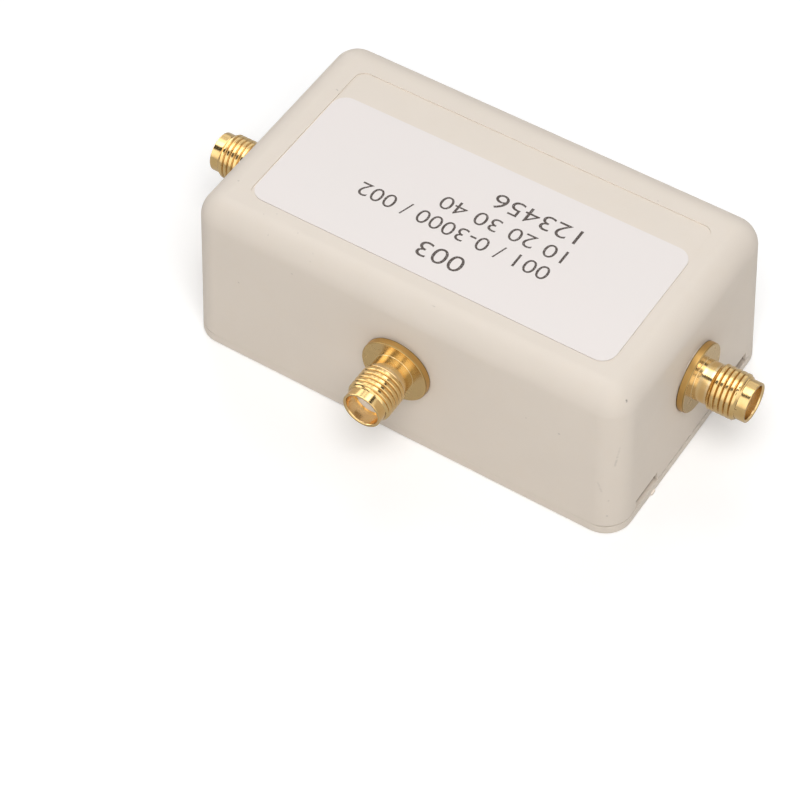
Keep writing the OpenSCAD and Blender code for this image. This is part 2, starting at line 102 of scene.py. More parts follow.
# The back wall of the label's recess, and the recess's depth
RECESS_BACK = 12.86 * MM
RECESS_DEPTH = 0.16 * MM

# Height of the latch windows above the seam, and where they end, from the wall's middle
WINDOW_HEIGHT = 1.8 * MM
WINDOW_END = 14.5 * MM

# Height of the open seam
SEAM_HEIGHT = 0.2 * MM

# Where the plate was cut from its moulding gate
GATE_PIP = Vector((32.6, -10.0, 0.35)) * MM

# Width of the camera's film in mm, and of the photograph in pixels
FILM = 36
PICTURE = 800

# Small dark spots on the housing, given as points in the photograph: place in pixels from
# its top left corner, width in mm, and how dark
SPOTS = {
    "left_of_label": ((238.6, 180.6), 0.20, 0.45),
    "front_rim_1": ((264, 214), 0.16, 0.25),
    "front_rim_2": ((277, 214), 0.16, 0.30),
    "front_rim_3": ((268, 235), 0.18, 0.30),
    "front_rim_4": ((298, 233), 0.15, 0.20),
    "front_rim_5": ((313, 253.6), 0.16, 0.30),
    "front_rim_6": ((310, 261.6), 0.16, 0.25),
    "under_front_rim": ((292, 274), 0.19, 0.40),
    "front_left": ((238.6, 282.6), 0.20, 0.30),
    "behind_recess": ((658, 201), 0.14, 0.35),
    "corner_low_1": ((608, 501), 0.24, 0.35),
    "corner_low_2": ((607, 516), 0.20, 0.35),
    "front_right_1": ((559, 434), 0.24, 0.35),
    "front_right_2": ((526, 418), 0.20, 0.20),
}

# Scratches on the housing, given in the same way: start and end in pixels, width in mm,
# and how dark
SCRATCHES = {
    "back_left": ((336.5, 89.5), (337.5, 90.5), 0.13, 0.80),
    "front_rim": ((431, 305), (435.5, 307), 0.10, 0.25),
    "corner_top": ((626.5, 400.5), (626.5, 401.5), 0.20, 0.85),
    "corner_upper": ((620, 448), (617.5, 457), 0.18, 0.11),
    "corner_middle": ((617.5, 457), (615, 466), 0.22, 0.21),
    "corner_lower": ((597.5, 482), (601.5, 491.5), 0.22, 0.12),
}

# A faint line of painted shade along the recess's right end: start, end and width in mm, and how
# dark
RECESS_SHADE_LINE = ((26.55, 8.3, 25.0), (26.55, 11.4, 25.0), 0.20, 0.11)


# Sizes and colours that a user may change


def length(name, size, note):
    """A length property with its default in metres."""
    return FloatProperty(
        name=name, description=note, default=size, min=0.0, precision=5, unit="LENGTH"
    )


def turn(name, angle, note):
    """An angle property with its default in degrees."""
    return FloatProperty(name=name, description=note, default=radians(angle), unit="ROTATION")


def amount(name, value, note):
    """A plain number from nought up."""
    return FloatProperty(name=name, description=note, default=value, min=0.0)


def share(name, value, note):
    """A plain number from nought to one."""
    return FloatProperty(
        name=name, description=note, default=value, min=0.0, max=1.0, subtype="FACTOR"
    )


def colour(name, value, note):
    """A colour property, in linear light."""
    return FloatVectorProperty(
        name=name, description=note, default=value, size=3, min=0.0, max=1.0, subtype="COLOR"
    )


class HousingLooks(bpy.types.PropertyGroup):
    """The moulded cover and plate."""

    colour: colour("Colour", (0.722, 0.649, 0.570), "Colour of the plastic")
    roughness: share("Roughness", 0.46, "How dull the plastic is")
    edge: length("Edge", 0.15 * MM, "Bevel round the label's recess; other edges have half of it")
    grain: length("Grain", 0.16 * MM, "Size of the moulded texture")


class JackLooks(bpy.types.PropertyGroup):
    """The turned shells of the coaxial jacks."""

    colour: colour("Gold", (0.76, 0.53, 0.235), "Colour of the gold plating")
    roughness: share("Roughness", 0.13, "How dull the plating is")
    bead: colour("Bead", (0.95, 0.91, 0.90), "Colour of the plastic bead")
    reach: length("Reach", 8.4 * MM, "From the seat on the wall to the mouth")
    flange_radius: length("Flange radius", 4.8 * MM, "Radius of the round flange")
    flange_thick: length("Flange thickness", 1.0 * MM, "Thickness of the round flange")
    neck_radius: length("Neck radius", 2.8 * MM, "Radius of the neck and of the thread's core")
    thread_start: length("Thread start", 3.0 * MM, "From the seat to the thread")
    thread_end: length("Thread end", 7.0 * MM, "From the seat to the thread's outer end")
    thread_radius: length("Thread radius", THREAD_RADIUS, "Radius over the thread's crests")
    pitch: length("Pitch", 25.4 / 36 * MM, "From one crest to the next, 36 to the inch")
    crest: length("Crest", 0.42 * MM, "Width of the flat on a crest")
    rim_radius: length("Rim radius", 2.72 * MM, "Radius of the plain rim at the mouth")
    mouth_radius: length("Mouth radius", MOUTH_RADIUS, "Radius of the mouth that takes the plug")
    mouth_depth: length("Mouth depth", 2.0 * MM, "Depth of the mouth down to the bead")
    bore_radius: length("Bore radius", 2.07 * MM, "Radius of the bore round the bead")
    barrel_radius: length("Barrel radius", 3.175 * MM, "Radius of the barrel inside the box")
    barrel: length("Barrel", 6.6 * MM, "Length of the barrel inside the box")
    steps: IntProperty(
        name="Steps", description="Faces round a jack", default=96, min=24, max=192
    )


class LabelLooks(bpy.types.PropertyGroup):
    """The film label and its rows of numbers."""

    film: colour("Film", (0.76, 0.706, 0.682), "Colour of the label film")
    ink: colour("Ink", (0.034, 0.019, 0.012), "Colour of the print")
    row_1: StringProperty(name="Row 1", description="Numbers by the test jack", default="003")
    row_2: StringProperty(name="Row 2", description="Widest row", default="001 / 0-3000 / 002")
    row_3: StringProperty(name="Row 3", description="Third row", default="10 20 30 40")
    row_4: StringProperty(name="Row 4", description="Last row", default="123456")


class StudioLooks(bpy.types.PropertyGroup):
    """The camera, lamps and floor."""

    aim: FloatVectorProperty(
        name="Aim",
        description="Point that the camera looks at",
        default=(8.476 * MM, -31.008 * MM, 25.03 * MM),
        subtype="TRANSLATION",
        unit="LENGTH",
    )
    azimuth: turn("Azimuth", 33.946, "Camera's turn from the front")
    elevation: turn("Elevation", 51.194, "Camera's height")
    roll: turn("Roll", 1.184, "Camera's roll")
    distance: length("Distance", 326.19 * MM, "From the camera to its aim")
    lens: amount("Lens", 123.89, "Focal length in mm")
    ambient: amount("Ambient", 0.38, "Soft light from all round")
    softbox: amount("Softbox", 2.20, "Power of the lamp overhead in watts")
    fill: amount("Fill", 0.75, "Power of the weak lamp behind in watts")
    glow: amount("Glow", 3.3, "Strength of the card that metal reflects")
    sky: amount("Sky", 1.65, "Strength of the sky that metal reflects")
    floor: colour("Floor", (0.96, 0.96, 0.96), "Colour of the floor")


# The photograph's view


def camera_place(looks):
    """Where the camera that took the picture stands, and how it is turned."""
    az, el, roll = looks.azimuth, looks.elevation, looks.roll
    back = Vector((sin(az) * cos(el), -cos(az) * cos(el), sin(el)))
    right = Vector((cos(az), sin(az), 0))
    up = back.cross(right)
    turned_right = right * cos(roll) - up * sin(roll)
    turned_up = right * sin(roll) + up * cos(roll)
    axes = Matrix((turned_right, turned_up, back)).transposed().to_4x4()
    return Matrix.Translation(Vector(looks.aim) + back * looks.distance) @ axes


class Sight:
    """Tells which place on the built cover a point of the photograph shows."""

    def __init__(self, looks):
        mesh = frame["nodes"]["top_shell"].data
        corners = [vert.co for vert in mesh.vertices]
        self.cover = BVHTree.FromPolygons(corners, [tuple(face.vertices) for face in mesh.polygons])
        self.camera = camera_place(looks)
        self.pixel = FILM / looks.lens / PICTURE

    def place(self, point):
        """The place on the cover at a point of the photograph, in metres."""
        across, down = (part - PICTURE / 2 for part in point)
        way = self.camera.to_3x3() @ Vector((across * self.pixel, -down * self.pixel, -1))
        place = self.cover.ray_cast(self.camera.translation, way)[0]
        if place is None:
            raise RuntimeError(f"the photograph shows no cover at {point}")
        return place


def housing_marks(looks):
    """The spots and scratches, and last the painted shade line along the recess's right end: start
    and end in metres, width in mm, and how dark.
    """
    sight = Sight(looks)
    picked = [(point, point, *rest) for point, *rest in SPOTS.values()]
    picked += SCRATCHES.values()
    marks = [(sight.place(start), sight.place(end), *rest) for start, end, *rest in picked]
    start, end, *rest = RECESS_SHADE_LINE
    return [*marks, (Vector(start) * MM, Vector(end) * MM, *rest)]


# Materials


class Wire:
    """A value in a material. Sums, differences and products of wires become Math nodes."""

    def __init__(self, tree, socket):
        self.tree = tree
        self.socket = socket

    def __add__(self, other):
        return self.tree.maths("ADD", self, other)

    def __sub__(self, other):
        return self.tree.maths("SUBTRACT", self, other)

    def __rsub__(self, other):
        return self.tree.maths("SUBTRACT", other, self)

    def __mul__(self, other):
        return self.tree.maths("MULTIPLY", self, other)

    def __abs__(self):
        return self.tree.maths("ABSOLUTE", self)

    __radd__ = __add__
    __rmul__ = __mul__


class Tree:
    """A node tree that is built node by node."""

    def __init__(self, nodes_of):
        nodes_of.use_nodes = True
        self.tree = nodes_of.node_tree
        self.tree.nodes.clear()

    def node(self, kind, settings=None, inputs=None, out=0):
        """Adds a node: its settings first, then a value or a wire for each named input."""
        made = self.tree.nodes.new(kind)
        for name, value in (settings or {}).items():
            setattr(made, name, value)
        for name, value in (inputs or {}).items():
            if isinstance(value, Wire):
                self.tree.links.new(value.socket, made.inputs[name])
            else:
                made.inputs[name].default_value = value
        return Wire(self, made.outputs[out]) if made.outputs else None

    def maths(self, operation, *values):
        """A Math node."""
        return self.node("ShaderNodeMath", {"operation": operation}, dict(enumerate(values)))

    def vector(self, operation, *values, out="Vector", scale=None):
        """A Vector Math node."""
        inputs = dict(enumerate(values))
        if scale is not None:
            inputs["Scale"] = scale
        return self.node("ShaderNodeVectorMath", {"operation": operation}, inputs, out)

    def rays(self):
        """Whether a ray comes from the camera, and whether from a mirror or through glass."""
        path = self.node("ShaderNodeLightPath").socket.node
        camera, glossy, through = (
            Wire(self, path.outputs[name])
            for name in ("Is Camera Ray", "Is Glossy Ray", "Is Transmission Ray")
        )
        return camera, self.maths("MINIMUM", glossy + through, 1.0)

    def place(self):
        """The point that is shaded, in metres."""
        return self.node("ShaderNodeTexCoord", out="Object")

    def part(self, vector, axis):
        """One of a vector's three numbers."""
        return self.node("ShaderNodeSeparateXYZ", None, {0: vector}, axis)

    def noise(self, place, size, detail=2.0):
        """Smooth noise from nought to one, with lumps of about that size in metres."""
        inputs = {"Vector": place, "Scale": 1 / size, "Detail": detail}
        return self.node("ShaderNodeTexNoise", None, inputs, "Fac")

    def ramp(self, value, low, high, start=0.0, end=1.0):
        """Goes smoothly from start to end while value goes from low to high."""
        return self.node(
            "ShaderNodeMapRange",
            {"interpolation_type": "SMOOTHSTEP"},
            {"Value": value, "From Min": low, "From Max": high, "To Min": start, "To Max": end},
        )

    def fall(self, value, low, high):
        """One up to low, and smoothly down to nought at high."""
        return self.ramp(value, low, high, 1.0, 0.0)

    def between(self, value, low, high, soft):
        """One while value is between low and high, nought outside, with soft ends."""
        rise = self.ramp(value, low - soft, low + soft)
        return rise * self.fall(value, high - soft, high + soft)

    def mix(self, factor, first, second):
        """A colour between two colours."""
        first, second = (c if isinstance(c, Wire) else (*c, 1.0) for c in (first, second))
        inputs = {0: factor, 6: first, 7: second}
        return self.node("ShaderNodeMix", {"data_type": "RGBA"}, inputs, 2)

    def bump(self, height, depth, normal=None):
        """Dents the surface where height changes from nought to one, over a depth in metres."""
        inputs = {"Strength": 1.0, "Distance": depth, "Height": height}
        if normal:
            inputs["Normal"] = normal
        return self.node("ShaderNodeBump", None, inputs)

    def near(self, place, start, end):
        """Distance to the straight line between two points, in metres."""
        start, end = Vector(start), Vector(end)
        run = end - start
        away = self.vector("SUBTRACT", place, start)
        if run.length > 0:
            along = self.vector("DOT_PRODUCT", away, run / run.length_squared, out="Value")
            along = self.node("ShaderNodeClamp", None, {"Value": along})
            away = self.vector("SUBTRACT", away, self.vector("SCALE", run, scale=along))
        return self.vector("LENGTH", away, out="Value")


def finish(name, colour, roughness, varying=None, **uniform):
    """Makes a material with one Principled shader. varying builds the inputs that vary."""
    material = bpy.data.materials.new(name)
    tree = Tree(material)
    inputs = {"Base Color": (*colour, 1.0), "Roughness": roughness}
    inputs |= {key.replace("_", " "): value for key, value in uniform.items()}
    if varying:
        inputs |= varying(tree)
    shader = tree.node("ShaderNodeBsdfPrincipled", None, inputs)
    tree.node("ShaderNodeOutputMaterial", None, {"Surface": shader})
    return material


def shade(colour, factor):
    """A colour made darker or lighter by a factor."""
    return tuple(min(1.0, part * factor) for part in colour)


def tint(colour, factors):
    """A colour whose red, green and blue are each made darker or lighter."""
    return tuple(part * factor for part, factor in zip(colour, factors))


def painted_light_and_pip(tree, place):
    """The recess's back wall, painted lighter as a highlight, the gap at the label's left end,
    painted lighter over its shade, and the gate's pip, which is paler plastic.
    """
    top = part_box("top_shell")[1].z
    low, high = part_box("label")
    across, along, height = (tree.part(place, axis) for axis in range(3))
    hair = 0.02 * MM
    wall = (
        tree.between(height, top - RECESS_DEPTH + hair, top - 0.03 * MM, hair)
        * tree.between(along, RECESS_BACK - 0.2 * MM, RECESS_BACK + 0.2 * MM, 0.05 * MM)
        * tree.between(across, low.x - 1.0 * MM, high.x + 1.0 * MM, 0.1 * MM)
    )
    gap = (
        tree.between(across, low.x - 0.3 * MM, low.x + 0.1 * MM, 0.1 * MM)
        * tree.between(along, low.y + 1.5 * MM, high.y - 1.5 * MM, 0.3 * MM)
        * tree.between(height, top - 0.3 * MM, top - RECESS_DEPTH + hair, hair)
    )
    pip = tree.ramp(tree.near(place, GATE_PIP, GATE_PIP), 0.5 * MM, 0.65 * MM, 0.8, 0.0)
    return wall + 0.7 * gap + pip


def painted_shade_places(tree, place):
    """Painted shade under the top of the four latch windows, and in the open seam between them."""
    low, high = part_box("top_shell")
    across, along, height = (tree.part(place, axis) for axis in range(3))
    outwards, sideways = abs(across), abs(along)
    deep = high.x - 1.0 * MM
    window_top = low.z + WINDOW_HEIGHT + 0.1 * MM
    window = (
        tree.between(outwards, deep, high.x - 0.38 * MM, 0.05 * MM)
        * tree.fall(sideways, WINDOW_END - 0.1 * MM, WINDOW_END + 0.1 * MM)
        * tree.ramp(height, low.z - 0.1 * MM, low.z + 0.45 * MM)
        * tree.ramp(height, window_top - 0.05 * MM, window_top + 0.05 * MM, 0.75, 0.0)
    )
    seam = (
        tree.between(outwards, deep, high.x - 0.06 * MM, 0.04 * MM)
        * tree.between(height, low.z - 0.02 * MM, low.z + SEAM_HEIGHT + 0.04 * MM, 0.02 * MM)
        * tree.between(along, -7.0 * MM, 14.0 * MM, 1.0 * MM)
    )
    return window + 0.5 * (1.0 - window) * seam


def plastic(looks):
    """Off-white moulded plastic: faint clouds, a fine grain and a few small marks, with painted
    light at the recess's back wall and the label's left end, and painted shade in the latch
    windows, the seam and along the recess's right end.
    """
    base = tuple(looks.colour)
    # Brown of the shade painted in the latch windows and the seam
    painted_shade_colour = (0.22, 0.16, 0.11)
    marks = housing_marks(bpy.context.scene.bridge_studio)

    def varying(tree):
        place = tree.place()
        clouds = tree.noise(place, 7 * MM, 3.0)
        colour = tree.mix(clouds, shade(base, 0.975), shade(base, 1.025))
        warm = tree.ramp(tree.noise(place, 2.2 * MM), 0.45, 0.8, 0.0, 0.35)
        colour = tree.mix(warm, colour, tint(base, (1.0, 0.985, 0.96)))
        # Painted light: the recess's back wall and the gap at the label's left end are lighter; the
        # gate's pip is paler plastic
        colour = tree.mix(painted_light_and_pip(tree, place), colour, shade(base, 1.3))
        # Painted shade in the latch windows and the open seam
        colour = tree.mix(painted_shade_places(tree, place), colour, painted_shade_colour)
        # Real spots and scratches, and the painted shade line along the recess's right end, all
        # darken the colour
        dirt_and_shade = 0.0
        for start, end, width, dark in marks:
            gap = tree.near(place, start, end)
            dirt_and_shade = tree.ramp(gap, 0.2 * width * MM, width * MM, dark, 0.0) + dirt_and_shade
        ragged = tree.ramp(tree.noise(place, 0.3 * MM), 0.3, 0.55)
        colour = tree.mix(dirt_and_shade * ragged, colour, shade(base, 0.28))
        normal = tree.bump(tree.noise(place, looks.grain), 0.006 * MM)
        normal = tree.bump(tree.noise(place, 11 * MM, 1.0), 0.05 * MM, normal)
        smooth, dull = looks.roughness - 0.03, looks.roughness + 0.04
        rough = tree.ramp(tree.noise(place, 3 * MM), 0.3, 0.7, smooth, dull)
        return {"Base Color": colour, "Roughness": rough, "Normal": normal}

    return finish("housing_plastic", base, looks.roughness, varying, Specular_IOR_Level=0.25)


def film(looks):
    """White label film with a faint drift in its tone and a fine grain."""
    base = tuple(looks.film)

    def varying(tree):
        place = tree.place()
        drift = tree.ramp(tree.noise(place, 9 * MM), 0.35, 0.65)
        return {
            "Base Color": tree.mix(drift, shade(base, 0.99), tint(base, (0.985, 0.99, 0.99))),
            "Normal": tree.bump(tree.noise(place, 0.25 * MM), 0.003 * MM),
        }

    return finish("label_film", base, 0.38, varying)


def ink(looks):
    """Grey heat-printed ink, thinner in small spots."""
    base = tuple(looks.ink)

    def varying(tree):
        spots = tree.ramp(tree.noise(tree.place(), 0.16 * MM, 1.0), 0.52, 0.72, 0.0, 0.38)
        return {"Base Color": tree.mix(spots, base, tuple(looks.film))}

    return finish("label_ink", base, 0.5, varying)


def shell_zones(tree, turned, looks):
    """The zones of a turned shell where the gold's colour is changed, each from nought to one."""
    radius, height = tree.part(turned, 0), tree.part(turned, 1)
    thin, soft = 0.06 * MM, 0.15 * MM
    neck, mouth = looks.neck_radius, looks.mouth_radius
    front = looks.flange_thick
    edge = tree.ramp(radius, looks.flange_radius - soft, looks.flange_radius)
    return {
        "face": tree.ramp(radius, neck, neck + thin)
        * (1.0 - edge)
        * tree.fall(height, front + thin, front + 0.2 * MM),
        "lip": tree.ramp(radius, mouth + 0.1 * MM, mouth + 0.18 * MM)
        * tree.ramp(height, looks.reach - 0.07 * MM, looks.reach - 0.02 * MM),
        "neck": tree.fall(radius, neck + 0.02 * MM, neck + thin)
        * tree.fall(height, front + 0.6 * MM, front + 1.2 * MM),
        "edge": edge,
        "outline": edge
        * (
            tree.fall(height, 0.10 * MM, 0.18 * MM)
            + 0.7 * tree.between(height, front - 0.14 * MM, front - 0.03 * MM, 0.03 * MM)
        ),
        "root": tree.fall(radius, looks.thread_radius - soft, looks.thread_radius - 0.03 * MM)
        * tree.ramp(height, looks.thread_start - 0.4 * MM, looks.thread_start - 0.2 * MM)
        * tree.fall(height, looks.thread_end - 0.5 * MM, looks.thread_end - 0.3 * MM),
        "mouth": tree.fall(radius, mouth, mouth + 0.08 * MM),
    }


def plating(looks):
    """Bright gold over turned brass. Rings and tones follow each jack's radius and height; most
    tones are painted reflection, light and shade.
    """
    base = tuple(looks.colour)
    tones = {
        # Painted reflection: the neck is paler near the flange, lightening the flange's reflection
        # on it
        "neck": (0.84, 0.65, 0.36),
        "edge": tint(base, (0.76, 0.67, 0.50)),
        # Painted shade: dark lines at the flange's foot against the wall and along its front edge
        "outline": shade(base, 0.35),
        "root": (0.76, 0.58, 0.33),
        # Painted light: the inside of the mouth is lighter
        "mouth": (0.88, 0.65, 0.34),
    }

    def varying(tree):
        turned = tree.node("ShaderNodeAttribute", {"attribute_name": "turned"}, None, "Vector")
        rings = tree.noise(turned, 0.09 * MM, 1.0)
        place = tree.place()
        stain = tree.ramp(tree.noise(place, 1.3 * MM, 3.0), 0.45, 0.75)
        zones = shell_zones(tree, turned, looks)
        colour = tree.mix(stain, base, tint(base, (0.95, 0.90, 0.80)))
        # Painted reflection: the flange's face and the mouth's lip are darker gold, for the darker
        # surroundings that they reflect
        colour = tree.mix(zones["face"] + zones["lip"], colour, shade(base, 0.88))
        for zone, tone in tones.items():
            colour = tree.mix(zones[zone], colour, tone)
        rough = looks.roughness + 0.05 * rings + 0.06 * stain
        rough = rough + 0.08 * (zones["mouth"] + zones["face"]) + 0.22 * zones["edge"]
        normal = tree.bump(rings, 0.0016 * MM)
        normal = tree.bump(tree.noise(place, 0.9 * MM), 0.004 * MM, normal)
        return {"Base Color": colour, "Roughness": rough, "Normal": normal}

    return finish("gold_plating", base, looks.roughness, varying, Metallic=1.0)


def plain_gold(looks):
    """Gold plating of the small contacts and the nuts."""
    base = tuple(looks.colour)

    def varying(tree):
        place = tree.place()
        stain = tree.noise(place, 0.8 * MM, 3.0)
        return {
            "Base Color": tree.mix(stain, base, shade(base, 0.85)),
            "Roughness": 0.16 + 0.12 * stain,
            "Normal": tree.bump(tree.noise(place, 0.2 * MM), 0.002 * MM),
        }

    return finish("gold_contact", base, 0.2, varying, Metallic=1.0)


def bead(looks):
    """Slippery white plastic of the beads."""
    base = tuple(looks.bead)

    def varying(tree):
        place = tree.place()
        lumps = tree.noise(place, 0.7 * MM)
        return {
            "Base Color": tree.mix(lumps, shade(base, 0.96), shade(base, 1.03)),
            "Normal": tree.bump(tree.noise(place, 0.15 * MM), 0.003 * MM),
        }

    return finish("bead_plastic", base, 0.42, varying)


def mottled(name, base, roughness, size, contrast, depth, **uniform):
    """A plain material whose colour, dullness and surface vary over lumps of one size."""

    def varying(tree):
        lumps = tree.noise(tree.place(), size, 3.0)
        return {
            "Base Color": tree.mix(lumps, shade(base, 1 - contrast), shade(base, 1 + contrast)),
            "Roughness": tree.ramp(lumps, 0.3, 0.7, roughness * 0.8, roughness * 1.2),
            "Normal": tree.bump(lumps, depth),
        }

    return finish(name, base, roughness, varying, **uniform)


def board_finish():
    """Green solder mask over copper tracks, with bare edges."""
    low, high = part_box("circuit_board")
    mask, over_track, bare = (0.012, 0.175, 0.075), (0.02, 0.26, 0.11), (0.42, 0.40, 0.20)

    def varying(tree):
        place = tree.place()
        tracks = tree.node(
            "ShaderNodeTexBrick",
            {"offset": 0.5},
            {
                "Vector": place,
                "Scale": 1.0,
                "Mortar Size": 0.25 * MM,
                "Mortar Smooth": 0.3,
                "Brick Width": 4.2 * MM,
                "Row Height": 2.6 * MM,
                "Color1": (0, 0, 0, 1),
                "Color2": (0, 0, 0, 1),
                "Mortar": (1, 1, 1, 1),
            },
            "Fac",
        )
        from_middle = abs(tree.part(place, 2) - (low.z + high.z) / 2)
        half = (high.z - low.z) / 2
        edge = tree.fall(from_middle, half - 0.08 * MM, half - 0.02 * MM)
        return {
            "Base Color": tree.mix(edge, tree.mix(tracks, mask, over_track), bare),
            "Normal": tree.bump(tracks, 0.03 * MM),
        }

    return finish("board_green", mask, 0.28, varying)


def chip_finish():
    """Black chips with tinned ends, found from the two columns that the chips stand in."""
    black, tin = (0.02, 0.02, 0.022), (0.62, 0.61, 0.58)
    columns = ("bridge_resistor_1", "reference_resistor_1")
    first, second = ((low.x + high.x) / 2 for low, high in map(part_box, columns))
    low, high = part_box(columns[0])
    # From a chip's middle to its tinned end
    to_end = (high.x - low.x) / 2 - 0.4 * MM

    def varying(tree):
        place = tree.place()
        across = abs(tree.part(place, 0) - (first + second) / 2)
        across = abs(across - abs(second - first) / 2)
        ends = tree.ramp(across, to_end - 0.02 * MM, to_end + 0.02 * MM)
        lumps = tree.noise(place, 0.2 * MM)
        return {
            "Base Color": tree.mix(ends, black, tin),
            "Metallic": ends,
            "Roughness": 0.35 + 0.15 * lumps,
            "Normal": tree.bump(lumps, 0.004 * MM),
        }

    return finish("chip_ceramic", black, 0.4, varying)


# Shapes


def add_piece(name, bm, material, slot, *nodes):
    """Links a finished shape to the scene as a piece that rides on the box."""
    mesh = bpy.data.meshes.new(name)
    bm.to_mesh(mesh)
    bm.free()
    mesh.materials.append(material)
    piece = bpy.data.objects.new(name, mesh)
    bpy.context.scene.collection.objects.link(piece)
    if nodes:
        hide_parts(*nodes)
    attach(piece, "root")
    return piece


def smooth(bm, angle):
    """Shades every face smooth, and keeps the edges that turn by more than an angle sharp."""
    for face in bm.faces:
        face.smooth = True
    for edge in bm.edges:
        edge.smooth = edge.is_manifold and edge.calc_face_angle() < angle


def weigh_edges(bm, angle):
    """Weights the edges for the bevel: all of it on the top, half elsewhere, none at the seam."""
    layer = bm.edges.layers.float.new("bevel_weight_edge")
    low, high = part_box("top_shell")
    on_top, off_seam = high.z - 0.01 * MM, 0.06 * MM
    for edge in bm.edges:
        if not edge.is_manifold or edge.calc_face_angle() < angle:
            continue
        heights = [vert.co.z for vert in edge.verts]
        if min(heights) > on_top:
            edge[layer] = 1.0
        elif any(abs(height - low.z) > off_seam for height in heights):
            edge[layer] = 0.5


def soften(skin, width):
    """Bevels the weighted edges, and lets the large faces rule the shading beside them."""
    bevel = skin.modifiers.new("soft_edges", "BEVEL")
    bevel.width = width
    bevel.segments = 3
    bevel.limit_method = "WEIGHT"
    bevel.harden_normals = True
    weighted = skin.modifiers.new("even_normals", "WEIGHTED_NORMAL")
    weighted.keep_sharp = True


def profile_loop(bm, outline):
    """A closed line of (radius, height) points, ready to be spun about the Z axis."""
    corners = [bm.verts.new((radius, 0, height)) for radius, height in outline]
    sides = [bm.edges.new(pair) for pair in zip(corners, corners[1:] + corners[:1])]
    return corners + sides


def lathe(outline, steps):
    """Turns a closed outline of (radius, height) points about the Z axis."""
    bm = bmesh.new()
    bmesh.ops.spin(
        bm,
        geom=profile_loop(bm, outline),
        cent=(0, 0, 0),
        axis=UP,
        dvec=(0, 0, 0),
        angle=2 * pi,
        steps=steps,
        use_merge=True,
    )
    bmesh.ops.remove_doubles(bm, verts=bm.verts, dist=0.1 * TOUCHING)
    bmesh.ops.recalc_face_normals(bm, faces=bm.faces)
    return bm


def is_ring(edge, radius, height):
    """Whether an edge of a turned shape lies on the ring at that radius and height."""
    return all(
        abs(hypot(vert.co.x, vert.co.y) - radius) < TOUCHING
        and abs(vert.co.z - height) < TOUCHING
        for vert in edge.verts
    )


def round_rings(bm, rings):
    """Rounds each ring, given as (radius, height, size of the rounding)."""
    for radius, height, size in rings:
        edges = [edge for edge in bm.edges if is_ring(edge, radius, height)]
        if not edges:
            raise RuntimeError(f"there is no ring at radius {radius} and height {height}")
        bmesh.ops.bevel(
            bm,
            geom=edges,
            offset=size,
            segments=3,
            profile=0.5,
            affect="EDGES",
            material=-1,
        )


def hold_flats(corners):
    """Adds a guard point just past each rounding, so that the flat behind it is shaded flat."""
    outline = []
    for (*start, start_size), (*end, end_size) in zip(corners, corners[1:] + corners[:1]):
        start, end = Vector(start), Vector(end)
        way = (end - start).normalized()
        outline.append(tuple(start))
        if (end - start).length > start_size + end_size + 4 * GUARD:
            if start_size:
                outline.append(tuple(start + way * (start_size + GUARD)))
            if end_size:
                outline.append(tuple(end - way * (end_size + GUARD)))
    return outline


def jack_shell(looks):
    """The turned shell without its thread, from barrel to mouth. Zero is on the seat."""
    bead_face = looks.reach - looks.mouth_depth
    rim_slope = 0.08 * MM
    # Radius, height and size of the rounding at each corner
    corners = (
        (looks.bore_radius, -looks.barrel, 0),
        (looks.barrel_radius, -looks.barrel, 0.25 * MM),
        (looks.barrel_radius, 0, 0),
        (looks.flange_radius, 0, 0.08 * MM),
        (looks.flange_radius, looks.flange_thick, 0.12 * MM),
        (looks.neck_radius, looks.flange_thick, 0.06 * MM),
        (looks.neck_radius, looks.thread_end, 0),
        (looks.rim_radius, looks.thread_end + rim_slope, 0),
        (looks.rim_radius, looks.reach, 0.10 * MM),
        (looks.mouth_radius, looks.reach, 0.25 * MM),
        (looks.mouth_radius, bead_face, 0),
        (looks.bore_radius, bead_face, 0),
    )
    bm = lathe(hold_flats(corners), looks.steps)
    round_rings(bm, [corner for corner in corners if corner[2]])
    return bm


